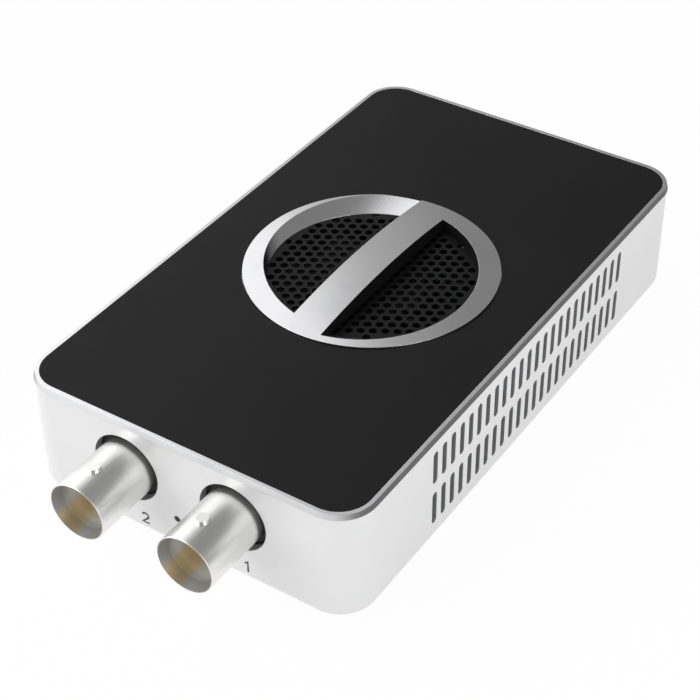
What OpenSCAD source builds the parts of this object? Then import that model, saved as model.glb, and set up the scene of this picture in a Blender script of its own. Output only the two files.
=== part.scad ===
// Video capture box: a flat metal housing with two coaxial sockets on the front, a domed grille with a fan
// under it on the top, and data and sound sockets on the back. The front faces -Y and Z = 0 is the table.

/* [Housing] */
// Width over the top frame
body_w = 60; // [57:0.5:80]
// Length over the top frame
body_l = 102.8; // [98:0.2:140]
// Height from the underside of the base to the top panel's face
body_h = 20.2; // [19.6:0.1:30]
// Radius of the upright corners at the top frame
corner_r = 6.2; // [5:0.1:7.5]
// Thickness of the side walls
wall_t = 1.6; // [1.3:0.1:2]
// Rounding of the bottom edge
edge_r = 1.2; // [0.6:0.1:1.2]
// Thickness of the base cover
base_t = 1.2; // [1:0.1:1.6]
// Height of the rubber feet below the base
foot_h = 1.2; // [0.8:0.1:3]
// Diameter of a rubber foot
foot_d = 9; // [6:0.5:11]
// Distance of a foot's centre from the outer sides
foot_inset = 10.5; // [9:0.5:13]
// Depth of the pocket that a foot is glued into
foot_pocket = 0.4; // [0.2:0.1:0.6]
// Radius of the corner pillars
pillar_r = 3.6; // [3.4:0.1:4.2]
// Distance of a pillar's axis from the inside of its corner
pillar_reach = 2.75; // [2.5:0.05:3]
// Height of the joint between the pillars and the frame's bosses, above the base cover
pillar_h = 12; // [9:0.5:14]

/* [Vents] */
// Slots in one row
slot_count = 24; // [10:1:26]
// Rows of slots on each long side
slot_rows = 2; // [1:1:2]
// Distance between slots
slot_pitch = 2.54; // [2.2:0.02:3]
// Width of a slot
slot_w = 1.25; // [0.8:0.05:1.5]
// Length of a slot with its round ends
slot_l = 6; // [4:0.2:6.6]
// Distance between the rows
slot_row_pitch = 8; // [7.4:0.2:8.6]
// Depth of the first row's middle below the top panel's face
slot_drop = 6; // [5:0.1:7]

/* [Top] */
// Width of the frame's flat lip round the panel
lip_w = 0.7; // [0.4:0.05:1]
// Width of the frame's steep outer edge
rim_bevel_w = 0.25; // [0.1:0.05:0.5]
// Height of the frame's outer edge
rim_h = 0.87; // [0.8:0.01:1.4]
// Overhang of the frame past the walls
rim_overhang = 0.15; // [0.05:0.05:0.3]
// Thickness of the black panel
panel_t = 0.5; // [0.3:0.05:0.6]
// Height of the frame's step inside the walls
lap_h = 0.8; // [0.6:0.1:1.4]
// Thickness of the wall's lip outside that step
lap_lip = 0.7; // [0.5:0.05:0.8]

/* [Grille] */
// Outer radius of the domed ring
ring_r = 20.75; // [20:0.25:24]
// Height of the ring's outer edge above the panel
ring_edge_h = 0.27; // [0.1:0.01:0.6]
// Radius of the ring's dome
dome_r = 138; // [110:1:200]
// Radius of the openings at the mesh
opening_r = 16.9; // [15.5:0.1:17.2]
// Width of the cross bar
bar_w = 6.3; // [4:0.1:9]
// Growth of the left bevel's radius up to its reference height
bevel_grow = 3.45; // [2:0.05:3.6]
// Shift of the left bevel's middle towards the bar, up to that height
bevel_x = 1.95; // [1:0.05:2.1]
// Shift of the left bevel's middle along the bar, up to that height
bevel_y = 2.55; // [1.4:0.05:2.7]
// Size of the right bevel as a share of the left one
bevel_share = 0.5; // [0.3:0.05:1]
// Reference height of the bevels above the panel
bevel_rise = 0.55; // [0.5:0.05:0.8]
// Depth of the mesh's face below the panel
mesh_depth = 1.13; // [1:0.01:1.3]
// Thickness of the mesh
mesh_t = 0.45; // [0.3:0.05:0.5]
// Distance between the hexagonal holes
hex_pitch = 1.9; // [1.8:0.1:3]
// Width of a hole across its flats
hex_w = 1.25; // [0.8:0.05:1.5]
// Width of the mesh's seat past the openings
seat_w = 2.5; // [2.4:0.1:2.8]

/* [Coaxial sockets] */
// Place of the middle of the pair across the box
pair_x = -0.3; // [-0.5:0.1:0.5]
// Distance of each socket from the middle of the pair
bnc_x = 9.7; // [8.5:0.1:12]
// Height of the sockets' axis above the board
bnc_axis_h = 6.95; // [6.7:0.05:7.5]
// Reach of a barrel in front of the wall
bnc_reach = 11.3; // [9:0.1:14]
// Outer diameter of a barrel
bnc_d = 9.7; // [9.4:0.1:10]
// Bore of a barrel, behind its flared mouth
bnc_bore_d = 8.15; // [7.9:0.05:8.3]
// Depth of that bore
bnc_bore_depth = 5.6; // [5:0.1:6.4]
// Depth of the flare that leads a plug in
flare_depth = 2.2; // [0.8:0.1:2.6]
// Wall that the flare leaves at the mouth
flare_wall = 0.2; // [0.15:0.05:0.5]
// Width across the two bayonet lugs
lug_span = 10.8; // [10.6:0.1:11.2]
// Diameter of a lug
lug_d = 2; // [1.6:0.1:2.4]
// Distance of the lugs from the mouth
lug_y = 4.75; // [4:0.05:5.2]
// Diameter of the holes in the front wall
bnc_hole_d = 11.7; // [11.6:0.1:13]
// Width of a socket's block
block_w = 14; // [12:0.2:15]
// Depth of a socket's block
block_d = 13; // [12:0.5:16]
// Height of a block above the socket's axis
block_over = 6.2; // [5.5:0.1:6.4]
// Diameter of the white insulator
insulator_d = 6.5; // [6:0.1:6.8]
// Diameter of the centre contact
contact_d = 2.2; // [1.8:0.1:2.6]

/* [Status light] */
// Shift of the light from the middle of the pair of sockets
light_shift = -0.7; // [-0.8:0.1:0.3]
// Height of the light above the board
light_h = 1.2; // [1.2:0.1:2.2]
// Diameter of the light pipe
light_d = 1; // [0.8:0.1:1.4]

/* [Back sockets] */
// Distance of the data socket's middle from the inside of the right wall
usb_inset = 17.25; // [14:0.25:18]
// Width of the data socket's mouth
usb_w = 8.6; // [8.4:0.1:9]
// Height of the mouth's lower part
usb_low_h = 7.9; // [7.6:0.1:8.2]
// Width of the mouth's upper part
usb_up_w = 6; // [5.4:0.1:6.4]
// Height of the mouth's upper part
usb_up_h = 2.7; // [2.4:0.1:3]
// Slant of the mouth's corners
usb_bevel = 1.2; // [0.8:0.1:1.25]
// Thickness of the data socket's shell
usb_shell_t = 0.35; // [0.25:0.05:0.5]
// Depth of the data socket
usb_d = 16; // [14:0.5:20]
// Distance of the microphone jack's middle from the inside of the left wall
microphone_inset = 11.25; // [11:0.05:12.5]
// Distance between the two sound jacks
jack_pitch = 9.4; // [8.4:0.1:10]
// Bore of a sound jack
jack_bore_d = 3.6; // [3.55:0.05:3.8]
// Depth of that bore
jack_bore_depth = 12; // [11:0.5:14]
// Diameter of a jack's round nose
jack_nose_d = 5.6; // [5.2:0.1:5.8]
// Width of a jack's body
jack_w = 6.4; // [6:0.1:7]
// Depth of a jack's body
jack_d = 12.5; // [12:0.5:15]

/* [Board] */
// Thickness of the circuit board
board_t = 1.6; // [1:0.1:2]
// Height of the standoffs under the board
standoff_h = 1.6; // [1.4:0.1:2]
// Gap between the board's edge and the walls
board_gap = 1.25; // [0.8:0.05:2]
// Distance of the board's screws from its long edges
board_screw_x = 3.2; // [3:0.1:5]
// Distance of the board's screws from the middle of its length
board_screw_y = 30; // [26:0.5:31]
// Side of the processor
chip_w = 17; // [13:0.5:18]
// Height of the processor
chip_t = 1.4; // [1:0.1:1.8]
// Thickness of the thermal pad
pad_t = 0.5; // [0.3:0.1:0.8]
// Width of the heat sink past the processor
sink_margin = 3; // [2.6:0.1:3.5]
// Thickness of the heat sink's base
sink_base_t = 1; // [0.8:0.1:1.2]
// Fins on the heat sink
sink_fins = 8; // [5:1:9]
// Thickness of a fin
sink_fin_t = 1; // [0.6:0.1:1.2]

/* [Fan] */
// Side of the square fan frame
fan_w = 35; // [34.6:0.2:36]
// Thickness of the fan frame
fan_t = 7; // [6.8:0.1:7.4]
// Distance between the fan's screw holes
fan_pitch = 29; // [28.4:0.2:30]
// Bore of the fan frame
fan_bore_d = 33.2; // [32:0.1:33.6]
// Gap between the blades and that bore
blade_gap = 0.5; // [0.3:0.1:1]
// Diameter of the rotor's cup
hub_d = 17.4; // [16.8:0.2:20]
// Blades on the rotor
blade_count = 7; // [5:1:9]
// Turn of a blade from its top to its bottom, in degrees
blade_twist = 30; // [15:1:34]
// Diameter of the rotor's shaft
shaft_d = 1.5; // [1.2:0.1:1.8]
// Thickness of the soft gasket on the fan
gasket_t = 0.4; // [0.3:0.1:1]
// Height of the pad that the fan hangs from, below the frame
fan_pad_h = 0.83; // [0.8:0.01:1.2]

/* [Fits] */
// Gap round a piece that is set into another
fit = 0.05; // [0.03:0.01:0.1]
// Running clearance of the shaft in its bearing
running_fit = 0.03; // [0.01:0.01:0.08]
// Gap between a piece and the housing round it
ease = 0.1; // [0.05:0.01:0.2]
// Gap between a socket and the edge of its hole in the wall
hole_ease = 0.25; // [0.15:0.05:0.4]

/* [Hidden] */
$fn = 64;
// How far a cut runs past a face, and a joined shape into the next
over = 1;

// Heights, from the table up
z_base = foot_h;
z_floor = z_base + base_t;
z_board = z_floor + standoff_h;
z_deck = z_board + board_t;
z_axis = z_deck + bnc_axis_h;
z_light = z_deck + light_h;
z_face = z_base + body_h;
z_wall = z_face - rim_h;
z_tray = z_face - panel_t;
z_ledge = z_wall - lap_h;
z_pad = z_ledge - fan_pad_h;
z_boss = z_floor + pillar_h;
z_mesh = z_face - mesh_depth;
z_fan_top = z_pad - gasket_t;
z_fan = z_fan_top - fan_t;
z_sink = z_deck + chip_t + pad_t;
sink_clear = 0.5;
z_sink_top = z_fan - sink_clear;

// Plan of the housing
rim_w = lip_w + rim_bevel_w;
wall_w = body_w - 2 * rim_overhang;
wall_l = body_l - 2 * rim_overhang;
wall_r = corner_r - rim_overhang;
inner_w = wall_w - 2 * wall_t;
inner_l = wall_l - 2 * wall_t;
inner_r = wall_r - wall_t;
panel_w = body_w - 2 * rim_w;
panel_l = body_l - 2 * rim_w;
panel_r = corner_r - rim_w;
lap_inset = lap_lip + ease;
pillar_inset = inner_r - (inner_r - pillar_reach) / sqrt(2);
pillar_x = inner_w / 2 - pillar_inset;
pillar_y = inner_l / 2 - pillar_inset;
boss_ease = 0.35;
frame_boss_r = pillar_reach - boss_ease;
foot_x = body_w / 2 - foot_inset;
foot_y = body_l / 2 - foot_inset;
front_y = -wall_l / 2;
front_in_y = -inner_l / 2;
back_y = wall_l / 2;
back_in_y = inner_l / 2;
// The sockets reach past the front, so the whole is moved back to sit over the middle of its box
centre_y = (bnc_reach - rim_overhang) / 2;

// Case screws
screw_d = 2.4;
screw_hole_d = 2.8;
screw_head_d = 4.6;
screw_head_h = 1.1;
screw_end_gap = 0.6;
z_thread_end = z_ledge - screw_end_gap;

// Board
board_w = inner_w - 2 * board_gap;
board_l = inner_l - 2 * board_gap;
board_r = 1;
notch_gap = 0.4;
board_notch = pillar_inset + pillar_r + notch_gap - board_gap;
board_hole_x = board_w / 2 - board_screw_x;
board_screw_d = 2;
memory_w = 8;
memory_l = 11;
memory_h = 1;
support_w = 5;
support_h = 1;
support_gap = 5;
part_gap = 1.6;
inductor_w = 5;
inductor_h = 2.4;
inductor_r = 1;
inductor_ring_d = 4;
inductor_groove = 0.4;
inductor_x = 3 - board_hole_x;
inductor_y = -16;
capacitor_d = 5;
capacitor_h = 5.4;
capacitor_base_w = 5.3;
capacitor_base_h = 0.8;
capacitor_x = 5 - board_hole_x;
capacitor_y = 22;
board_head_d = 3.6;
board_head_h = 1.3;
standoff_d = 5;
lead_stick = 0.9;

// Grille
mesh_r = opening_r + seat_w;
z_bevel = z_face + bevel_rise;
ring_edge_z = z_face + ring_edge_h;
dome_z = ring_edge_z - sqrt(dome_r * dome_r - ring_r * ring_r);
crown_z = dome_z + dome_r;

// Coaxial sockets, along their axis from the mouth to the back of the block
input_x = pair_x + bnc_x;
loop_x = pair_x - bnc_x;
light_x = pair_x + light_shift;
mouth_y = front_y - bnc_reach;
block_gap = 0.3;
block_y = front_in_y + block_gap;
spigot_d = 8;
spigot_l = 4;
throat_d = 7.6;
sleeve_bore_d = insulator_d + 2 * fit;
chamber_d = 5.2;
chamber_y = block_y + 0.66 * block_d;
insulator_setback = 9;
contact_setback = bnc_bore_depth + 0.4;
contact_hole_d = 1.3;
contact_pin_d = 1;
contact_pin_y = chamber_y + 1.6;
contact_slot_w = 3;
leg_d = 1.6;
leg_x = 5;
leg_ys = [block_y + 2.5, block_y + 7.5];
led_y = block_y + 5;

// Back sockets
usb_x = inner_w / 2 - usb_inset;
microphone_x = microphone_inset - inner_w / 2;
headphone_x = microphone_x + jack_pitch;
usb_mouth_y = back_y - 0.2;
usb_z = z_deck + usb_shell_t;
usb_tip_setback = 2.5;
usb_body_l = 4.5;
usb_tongue_w = 5.6;
usb_tongue_t = 3.2;
usb_up_tongue_t = 1;
usb_up_gap = 0.7;
z_up_tongue = usb_z + usb_low_h + usb_up_h - usb_up_tongue_t - usb_up_gap;
usb_leg_w = 1.4;
usb_leg_ys = [usb_mouth_y - 0.3 * usb_d, usb_mouth_y - 0.7 * usb_d];
jack_nose_y = back_y - 0.1;
jack_back_gap = 0.2;
jack_face_y = back_in_y - jack_back_gap;
jack_h = jack_nose_d;
z_jack = z_deck + jack_h / 2;

// Fan, from its bottom up
fan_r = 2.5;
hub_r = hub_d / 2;
cup_t = 0.8;
plate_r = hub_r - 1.1;
plate_t = 1;
driver_t = 0.5;
tube_d = 4.4;
tube_bore_d = shaft_d + 1.7;
tube_top = z_fan + 4.6;
cup_z = z_fan + plate_t + 0.5;
cup_top = z_fan + 6.3;
boss_d = 3.4;
boss_z = tube_top + 0.3;
shaft_end = cup_top - 0.3;
shaft_start = z_fan + 0.7;
blade_z = cup_z + 0.1;
blade_h = cup_top - 0.1 - blade_z;
blade_r = fan_bore_d / 2 - blade_gap;
blade_t = 1;
magnet_t = 1;
magnet_r = hub_r - cup_t - fit;
air_gap = 0.5;
stator_r = magnet_r - magnet_t - air_gap;
stator_z = z_fan + plate_t + driver_t + 0.7;
stator_h = 2;
stator_ring_r = 3.4;
pole_count = 4;
pole_w = 1.6;
pole_shoe_t = 0.8;
coil_t = 0.5;
fan_screw_d = 2;
fan_head_d = 3.8;
fan_head_h = 1.1;
fan_thread = 1.3;
pad_wall = 0.5;
pad_margin = mesh_r + pad_wall - fan_w / 2;
sink_w = chip_w + 2 * sink_margin;
sink_hole = chip_w / 2 + sink_margin / 3;
sink_pin_d = 2;
header_w = 4.2;
header_l = 5;
header_h = 3.4;
header_x = -fan_w / 2 - 4.4;
wire_d = 1;
wire_gap = 1.6;
wire_bend = 1.6;
z_wire = z_fan + 2.5;

// Shared shapes

// Rounded rectangle seen from above
module plan(w, l, r) {
    square([w, l - 2 * r], center = true);
    square([w - 2 * r, l], center = true);
    for (x = [-1, 1], y = [-1, 1])
        translate([x * (w / 2 - r), y * (l / 2 - r)]) circle(r);
}

// Upright block on that plan
module slab(w, l, r, z0, z1) {
    translate([0, 0, z0]) linear_extrude(z1 - z0) plan(w, l, r);
}

// A section carried round a rounded rectangle: its x runs outwards from the corner's centre
module carried_round(w, l, r) {
    run_x = w - 2 * r;
    run_y = l - 2 * r;
    for (turn = [0 : 3]) {
        along = turn % 2 == 0 ? run_y : run_x;
        across = turn % 2 == 0 ? run_x : run_y;
        rotate([0, 0, 90 * turn]) translate([across / 2, -along / 2, 0]) {
            translate([0, along, 0]) rotate([90, 0, 0]) linear_extrude(along) children();
            translate([0, along, 0]) rotate_extrude(angle = 90) children();
        }
    }
}

// Copies at the four corners of a rectangle
module four(x, y) {
    for (i = [-1, 1], j = [-1, 1]) translate([i * x, j * y, 0]) children();
}

// Upright rod and upright tube
module rod(d, z0, z1) {
    translate([0, 0, z0]) cylinder(d = d, h = z1 - z0);
}
module tube(d, bore, z0, z1) {
    difference() {
        rod(d, z0, z1);
        rod(bore, z0 - over, z1 + over);
    }
}

// Rod along Y
module lying_rod(d, y0, y1) {
    translate([0, y1, 0]) rotate([90, 0, 0]) cylinder(d = d, h = y1 - y0);
}

// Housing

module wall_section() {
    difference() {
        translate([wall_r - wall_t, z_base]) square([wall_t, z_wall - z_base]);
        translate([wall_r - edge_r, z_base]) difference() {
            translate([0, -over]) square([edge_r + over, edge_r + over]);
            translate([0, edge_r]) circle(edge_r);
        }
        translate([wall_r - wall_t - over, z_ledge]) square([wall_t - lap_lip + over, lap_h + over]);
    }
}

module vent_slots() {
    reach = slot_l - slot_w;
    for (row = [0 : slot_rows - 1], i = [0 : slot_count - 1])
        translate([(i - (slot_count - 1) / 2) * slot_pitch, z_face - slot_drop - row * slot_row_pitch]) {
            square([slot_w, reach], center = true);
            for (s = [-1, 1]) translate([0, s * reach / 2]) circle(d = slot_w);
        }
}

module body_shell() {
    color("whitesmoke") difference() {
        union() {
            carried_round(wall_w, wall_l, wall_r) wall_section();
            intersection() {
                four(pillar_x, pillar_y) rod(2 * pillar_r, z_floor, z_boss);
                slab(wall_w - wall_t, wall_l - wall_t, wall_r - wall_t / 2, z_floor, z_boss);
            }
        }
        four(pillar_x, pillar_y) rod(screw_hole_d, z_floor - over, z_boss + over);
        rotate([90, 0, 90]) translate([0, 0, -body_w / 2 - over])
            linear_extrude(body_w + 2 * over) vent_slots();
        for (x = [loop_x, input_x])
            translate([x, 0, z_axis]) lying_rod(bnc_hole_d, front_y - over, front_in_y + over);
        translate([light_x, 0, z_light]) lying_rod(light_d + 2 * fit, front_y - over, front_in_y + over);
        translate([usb_x, back_y + over, usb_z]) rotate([90, 0, 0]) linear_extrude(wall_t + 2 * over)
            usb_outline(usb_shell_t + hole_ease);
        for (x = [headphone_x, microphone_x])
            translate([x, 0, z_jack]) lying_rod(jack_nose_d + 2 * hole_ease, back_in_y - over, back_y + over);
    }
}

module base_cover() {
    color("gainsboro") difference() {
        union() {
            slab(inner_w - 2 * ease, inner_l - 2 * ease, inner_r - ease, z_base, z_floor);
            four(board_hole_x, board_screw_y) rod(standoff_d, z_floor, z_board);
        }
        four(pillar_x, pillar_y) {
            rod(screw_hole_d, z_base - over, z_floor + over);
            translate([0, 0, z_base])
                cylinder(d1 = screw_head_d + 2 * fit, d2 = screw_d + 2 * fit, h = screw_head_h);
        }
        four(foot_x, foot_y) rod(foot_d + 2 * ease, z_base - over, z_base + foot_pocket);
        four(board_hole_x, board_screw_y) rod(board_screw_d + 2 * fit, z_floor, z_board + over);
    }
}

module rubber_feet() {
    chamfer = 0.4;
    color("dimgray") four(foot_x, foot_y) rotate_extrude() polygon([[0, 0], [foot_d / 2 - chamfer, 0],
        [foot_d / 2, chamfer], [foot_d / 2, z_base + foot_pocket], [0, z_base + foot_pocket]]);
}

module case_screws() {
    socket_d = 1.6;
    socket_h = 0.7;
    color("silver") four(pillar_x, pillar_y) difference() {
        union() {
            translate([0, 0, z_base]) cylinder(d1 = screw_head_d, d2 = screw_d, h = screw_head_h);
            rod(screw_d, z_base + screw_head_h, z_thread_end - screw_end_gap);
        }
        translate([0, 0, z_base - over]) cylinder(d = socket_d, h = socket_h + over, $fn = 6);
    }
}

module frame_edge_section() {
    root = corner_r - rim_w - over;
    lip = corner_r - rim_w + fit;
    polygon([[root, z_wall], [corner_r, z_wall], [corner_r - rim_bevel_w, z_face], [lip, z_face],
        [lip, z_tray], [root, z_tray]]);
}

module top_frame() {
    lap_w = wall_w - 2 * lap_inset;
    lap_l = wall_l - 2 * lap_inset;
    color("lightgray") difference() {
        union() {
            carried_round(body_w, body_l, corner_r) frame_edge_section();
            slab(panel_w, panel_l, panel_r, z_wall, z_tray);
            slab(lap_w, lap_l, wall_r - lap_inset, z_ledge, z_wall);
            slab(fan_w + 2 * pad_margin, fan_w + 2 * pad_margin, fan_r + pad_margin, z_pad, z_ledge);
            four(pillar_x, pillar_y) rod(2 * frame_boss_r, z_boss, z_ledge);
        }
        rod(2 * (mesh_r + ease), z_mesh - mesh_t, z_face);
        rod(2 * opening_r, z_pad - over, z_face);
        four(fan_pitch / 2, fan_pitch / 2)
            rod(fan_screw_d + 2 * fit, z_pad - over, z_pad + fan_thread + screw_end_gap / 2);
        four(pillar_x, pillar_y) rod(screw_d + 2 * fit, z_boss - over, z_thread_end);
    }
}

module top_panel() {
    color("#282828") difference() {
        slab(panel_w, panel_l, panel_r, z_tray, z_face);
        rod(2 * (ring_r + ease), z_tray - over, z_face + over);
    }
}

// Grille

// One side of the ring, from the cross bar outwards
module half_space(side) {
    far = 2 * ring_r;
    translate([side > 0 ? bar_w / 2 : -bar_w / 2 - far, -far, z_mesh - over]) cube([far, 2 * far, far]);
}

// Slanted cone: a circle at the mesh leads to a wider one that is shifted towards one end of the bar, so that
// the bevel runs out to nothing on one side of its half and takes the whole ring at that end
module bevel_cut(side) {
    skin = 0.01;
    rise = z_bevel - z_mesh;
    share = side > 0 ? bevel_share : 1;
    below = -0.2;
    above = (crown_z + over - z_mesh) / rise;
    hull() for (t = [below, above])
        translate([-side * share * bevel_x * t, -side * share * bevel_y * t, z_mesh + rise * t])
            cylinder(r = opening_r + share * bevel_grow * t, h = skin, $fn = 160);
}

module grille_ring() {
    color("silver") difference() {
        union() {
            intersection() {
                translate([0, 0, dome_z]) sphere(r = dome_r, $fn = 200);
                rod(2 * ring_r, z_tray, z_face + ring_r);
            }
            rod(2 * mesh_r, z_mesh, z_tray);
        }
        for (side = [-1, 1]) intersection() {
            half_space(side);
            bevel_cut(side);
        }
    }
}

module grille_mesh() {
    column = hex_pitch * sqrt(3) / 2;
    columns = ceil(opening_r / column);
    rows = ceil(opening_r / hex_pitch);
    hex_d = hex_w / cos(30);
    color("#202020") translate([0, 0, z_mesh - mesh_t]) linear_extrude(mesh_t) difference() {
        circle(mesh_r);
        for (i = [-columns : columns], j = [-rows : rows]) {
            x = i * column;
            y = (j + (i % 2 == 0 ? 0 : 0.5)) * hex_pitch;
            if (norm([x, y]) < opening_r - hex_d / 4) translate([x, y]) circle(d = hex_d, $fn = 6);
        }
    }
}

// Board and what it carries

module main_board() {
    color("darkgreen") difference() {
        slab(board_w, board_l, board_r, z_board, z_deck);
        four(board_w / 2, board_l / 2) translate([0, 0, z_deck - over])
            cube([2 * board_notch, 2 * board_notch, 4 * over], center = true);
        four(board_hole_x, board_screw_y) rod(board_screw_d + 2 * ease, z_board - over, z_deck + over);
        for (s = [-1, 1]) translate([s * sink_hole, s * sink_hole, 0])
            rod(sink_pin_d + 2 * ease, z_board - over, z_deck + over);
        for (x = [loop_x, input_x]) translate([x, 0, 0]) {
            for (i = [-1, 1], y = leg_ys)
                translate([i * leg_x, y, 0]) rod(leg_d + 2 * ease, z_board - over, z_deck + over);
            translate([0, contact_pin_y, 0]) rod(contact_pin_d + 2 * ease, z_board - over, z_deck + over);
        }
        for (s = [-1, 1], y = usb_leg_ys)
            translate([usb_x + s * (usb_w + usb_shell_t) / 2, y, z_deck])
                cube([usb_shell_t + 2 * ease, usb_leg_w + 2 * ease, 2 * board_t + over], center = true);
    }
}

module board_screws() {
    color("silver") four(board_hole_x, board_screw_y) {
        rod(board_screw_d, z_floor + fit, z_deck);
        difference() {
            rod(board_head_d, z_deck, z_deck + board_head_h);
            translate([0, 0, z_deck + board_head_h / 2]) cylinder(d = board_screw_d, h = over, $fn = 6);
        }
    }
}

// Flat chip with a dimple that marks its first pin
module chip(w, l, h, at) {
    dimple = 0.8;
    translate([at[0], at[1], z_deck]) difference() {
        translate([-w / 2, -l / 2, 0]) cube([w, l, h]);
        translate([-w / 2 + dimple, l / 2 - dimple, h - dimple / 4]) cylinder(d = dimple, h = over);
    }
}

module video_processor() {
    color("#303030") chip(chip_w, chip_w, chip_t, [0, 0]);
}

module thermal_pad() {
    color("lightblue") translate([-chip_w / 2, -chip_w / 2, z_deck + chip_t]) cube([chip_w, chip_w, pad_t]);
}

module heat_sink() {
    pitch = (sink_w - sink_fin_t) / (sink_fins - 1);
    groove = pitch - sink_fin_t;
    head_room = sink_pin_d + 1.4;
    z_fins = z_sink + sink_base_t;
    color("#404448") difference() {
        translate([-sink_w / 2, -sink_w / 2, z_sink]) cube([sink_w, sink_w, z_sink_top - z_sink]);
        for (i = [0 : sink_fins - 2])
            translate([-sink_w / 2 + sink_fin_t + i * pitch, -sink_w / 2 - over, z_fins])
                cube([groove, sink_w + 2 * over, z_sink_top]);
        for (s = [-1, 1]) translate([s * sink_hole, s * sink_hole, 0]) {
            rod(2 * head_room, z_fins, z_sink_top + over);
            rod(sink_pin_d + 2 * ease, z_sink - over, z_fins + over);
        }
    }
}

module heat_sink_pins() {
    head_d = sink_pin_d + 1.8;
    barb_d = sink_pin_d + 0.9;
    z_fins = z_sink + sink_base_t;
    head_h = min(1, z_sink_top - z_fins);
    color("ivory") for (s = [-1, 1]) translate([s * sink_hole, s * sink_hole, 0]) {
        rod(head_d, z_fins, z_fins + head_h);
        rod(sink_pin_d, z_board - fit, z_fins);
        translate([0, 0, z_board - lead_stick]) cylinder(d1 = sink_pin_d / 2, d2 = barb_d, h = lead_stick);
    }
}

module memory_chips() {
    x = sink_w / 2 + part_gap + memory_w / 2;
    color("#262626") for (s = [-1, 1])
        chip(memory_w, memory_l, memory_h, [x, s * (memory_l + part_gap) / 2]);
}

module support_chips() {
    row_y = block_y + block_d + support_gap;
    color("#2c2c2c") {
        for (x = [loop_x, input_x]) chip(support_w, support_w, support_h, [x, row_y]);
        chip(support_w, support_w, support_h, [headphone_x, jack_face_y - jack_d - support_gap]);
        chip(support_w, support_w, support_h, [usb_x, usb_mouth_y - usb_d - support_gap]);
    }
}

module power_inductors() {
    top = z_deck + inductor_h;
    color("#4a4a4e") for (i = [0, 1])
        translate([inductor_x, inductor_y - i * (inductor_w + part_gap), 0]) difference() {
            slab(inductor_w, inductor_w, inductor_r, z_deck, top);
            tube(inductor_ring_d, inductor_ring_d - 2 * inductor_groove, top - inductor_groove / 2, top + over);
        }
}

module filter_capacitors() {
    z_can = z_deck + capacitor_base_h;
    color("lightsteelblue") for (i = [0, 1])
        translate([capacitor_x, capacitor_y + i * (capacitor_base_w + part_gap), 0]) {
            slab(capacitor_base_w, capacitor_base_w, capacitor_base_h, z_deck, z_can);
            rod(capacitor_d, z_can, z_deck + capacitor_h);
        }
}

module status_led() {
    w = 2.4;
    l = 1.6;
    h = light_h + 1;
    color("ivory") translate([light_x - w / 2, led_y, z_deck]) cube([w, l, h]);
}

module light_pipe() {
    collar_lip = 0.4;
    collar_d = light_d + 2 * collar_lip;
    collar_t = 1;
    end_gap = 0.3;
    color("#303234") translate([light_x, 0, z_light]) {
        lying_rod(light_d, front_y + fit, led_y - end_gap);
        lying_rod(collar_d, front_in_y + fit, front_in_y + fit + collar_t);
    }
}

// Coaxial sockets: a barrel in a block, with an insulator and a centre contact

module socket_block() {
    half = block_w / 2;
    top = z_axis + block_over;
    slant = 2;
    color("#3a3a3c") difference() {
        union() {
            translate([0, block_y + block_d, 0]) rotate([90, 0, 0]) linear_extrude(block_d)
                polygon([[-half, z_deck], [half, z_deck], [half, top - slant], [half - slant, top],
                    [slant - half, top], [-half, top - slant]]);
            for (i = [-1, 1], y = leg_ys)
                translate([i * leg_x, y, 0]) rod(leg_d, z_board - lead_stick, z_deck);
        }
        translate([0, 0, z_axis]) {
            lying_rod(spigot_d + 2 * fit, block_y - over, block_y + spigot_l + fit);
            lying_rod(sleeve_bore_d, block_y, chamber_y);
            lying_rod(chamber_d, block_y, block_y + block_d + over);
        }
        translate([-contact_slot_w / 2, chamber_y, z_deck - over])
            cube([contact_slot_w, block_d, z_axis - z_deck + over]);
    }
}

module socket_barrel() {
    r = bnc_d / 2;
    bore_r = bnc_bore_d / 2;
    mouth_r = r - flare_wall;
    edge = flare_wall / 2;
    length = block_y - mouth_y;
    color("lightgray") translate([0, mouth_y, z_axis]) {
        rotate([-90, 0, 0]) rotate_extrude() polygon([[mouth_r, 0], [r - edge, 0], [r, edge], [r, length],
            [spigot_d / 2, length], [spigot_d / 2, length + spigot_l], [sleeve_bore_d / 2, length + spigot_l],
            [sleeve_bore_d / 2, insulator_setback - fit], [throat_d / 2, insulator_setback - fit],
            [throat_d / 2, bnc_bore_depth], [bore_r, bnc_bore_depth], [bore_r, flare_depth]]);
        for (s = [-1, 1]) translate([0, lug_y, s > 0 ? bore_r + (r - bore_r) / 2 : -lug_span / 2])
            cylinder(d = lug_d, h = lug_span / 2 - bore_r - (r - bore_r) / 2);
    }
}

module socket_insulator() {
    color("white") translate([0, 0, z_axis]) difference() {
        lying_rod(insulator_d, mouth_y + insulator_setback, chamber_y - fit);
        lying_rod(contact_d + 2 * fit, mouth_y, chamber_y + over);
    }
}

module socket_contact() {
    tip_y = mouth_y + contact_setback;
    color("gold") difference() {
        union() {
            translate([0, 0, z_axis]) lying_rod(contact_d, tip_y, contact_pin_y + contact_pin_d / 2);
            translate([0, contact_pin_y, 0]) rod(contact_pin_d, z_board - lead_stick, z_axis);
        }
        translate([0, 0, z_axis]) lying_rod(contact_hole_d, tip_y - over, tip_y + 4);
    }
}

// Back sockets

// Outline of the data socket's mouth, grown by g all round
module usb_outline(g) {
    low = usb_w / 2 + g;
    up = usb_up_w / 2 + g;
    lean = g * tan(22.5);
    shoulder = usb_low_h - usb_bevel + lean;
    top = usb_low_h + usb_up_h + g;
    union() {
        polygon([[-low, -g], [low, -g], [low, shoulder], [low - usb_bevel - g + lean, usb_low_h + g],
            [usb_bevel + g - lean - low, usb_low_h + g], [-low, shoulder]]);
        translate([-up, 0]) square([2 * up, top]);
    }
}

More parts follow.
